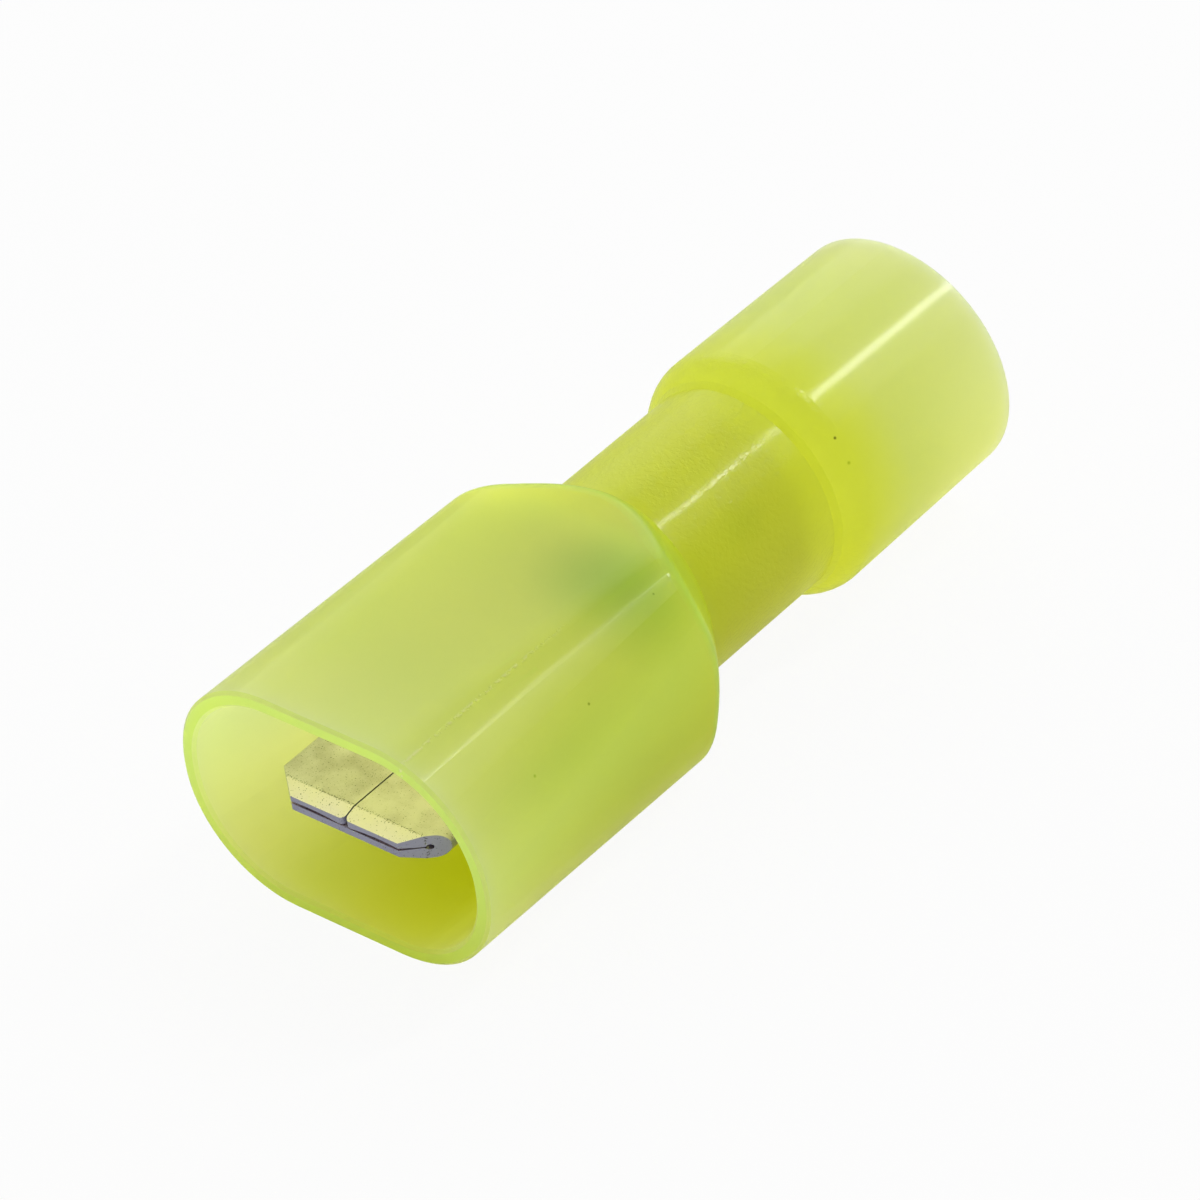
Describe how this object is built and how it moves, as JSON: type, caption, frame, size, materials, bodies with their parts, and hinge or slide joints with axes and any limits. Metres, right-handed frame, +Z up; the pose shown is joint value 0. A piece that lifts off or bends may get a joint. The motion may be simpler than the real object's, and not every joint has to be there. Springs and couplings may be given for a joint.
{
  "type": "insulated tab crimp terminal",
  "caption": "Fully insulated male push-on crimp terminal: folded metal tab in a translucent yellow-green nylon housing with a flat-oval mouth and a round wire entry.",
  "frame": {"origin": "on the axis, at the wire end of the metal barrel, where the wire goes into it", "axes": "+X along the axis and out of the wire entry, so the tab points to -X; +Y to the side, across the tab; +Z up, with the tab's seam on top"},
  "size_m": [0.027, 0.0116, 0.0084],
  "materials": {
    "nylon": "smooth translucent yellow-green moulding",
    "tinned_brass": "tin-plated, satin silver faces with duller grey sheared edges"
  },
  "bodies": {
    "root": {"housing": "nylon", "terminal": "tinned_brass"}
  },
  "joints": []
}
